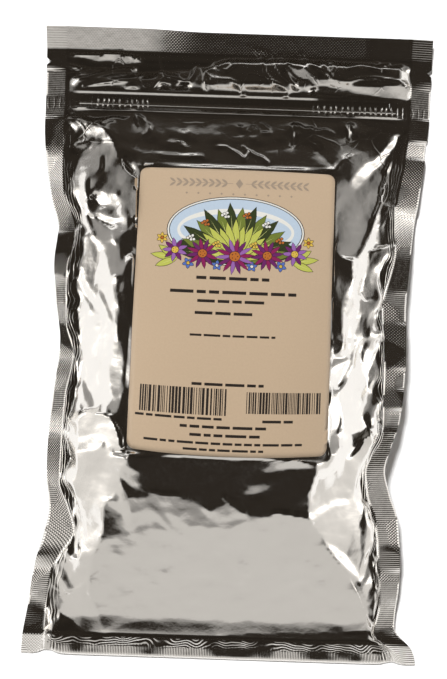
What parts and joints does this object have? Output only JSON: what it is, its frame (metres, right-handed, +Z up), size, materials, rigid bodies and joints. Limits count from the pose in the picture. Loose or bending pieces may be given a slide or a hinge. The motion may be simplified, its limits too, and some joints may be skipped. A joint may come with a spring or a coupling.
{
  "type": "sealed foil zip pouch of cut sweet flag root",
  "caption": "Heat-sealed metallised film pouch with a press zip and a paper label, filled with cut root and lying on its back.",
  "frame": {"origin": "on the surface that the pouch lies on, under the middle of its outline", "axes": "+Z up out of the front, +Y towards the zip end, +X to the right as the label is read"},
  "size_m": [0.2068, 0.329, 0.0576],
  "materials": {
    "foil": "mirror-bright metallised film, crumpled, embossed along the seals",
    "zip_plastic": "milky translucent, satin",
    "label_paper": "smooth printed paper, beige",
    "cut_root": "dry, rough, fibrous"
  },
  "bodies": {
    "root": {"front_panel": "foil", "back_panel": "foil", "zip_ridge_strip": "zip_plastic", "zip_groove_strip": "zip_plastic", "label": "label_paper", "root_filling": "cut_root"}
  },
  "joints": []
}
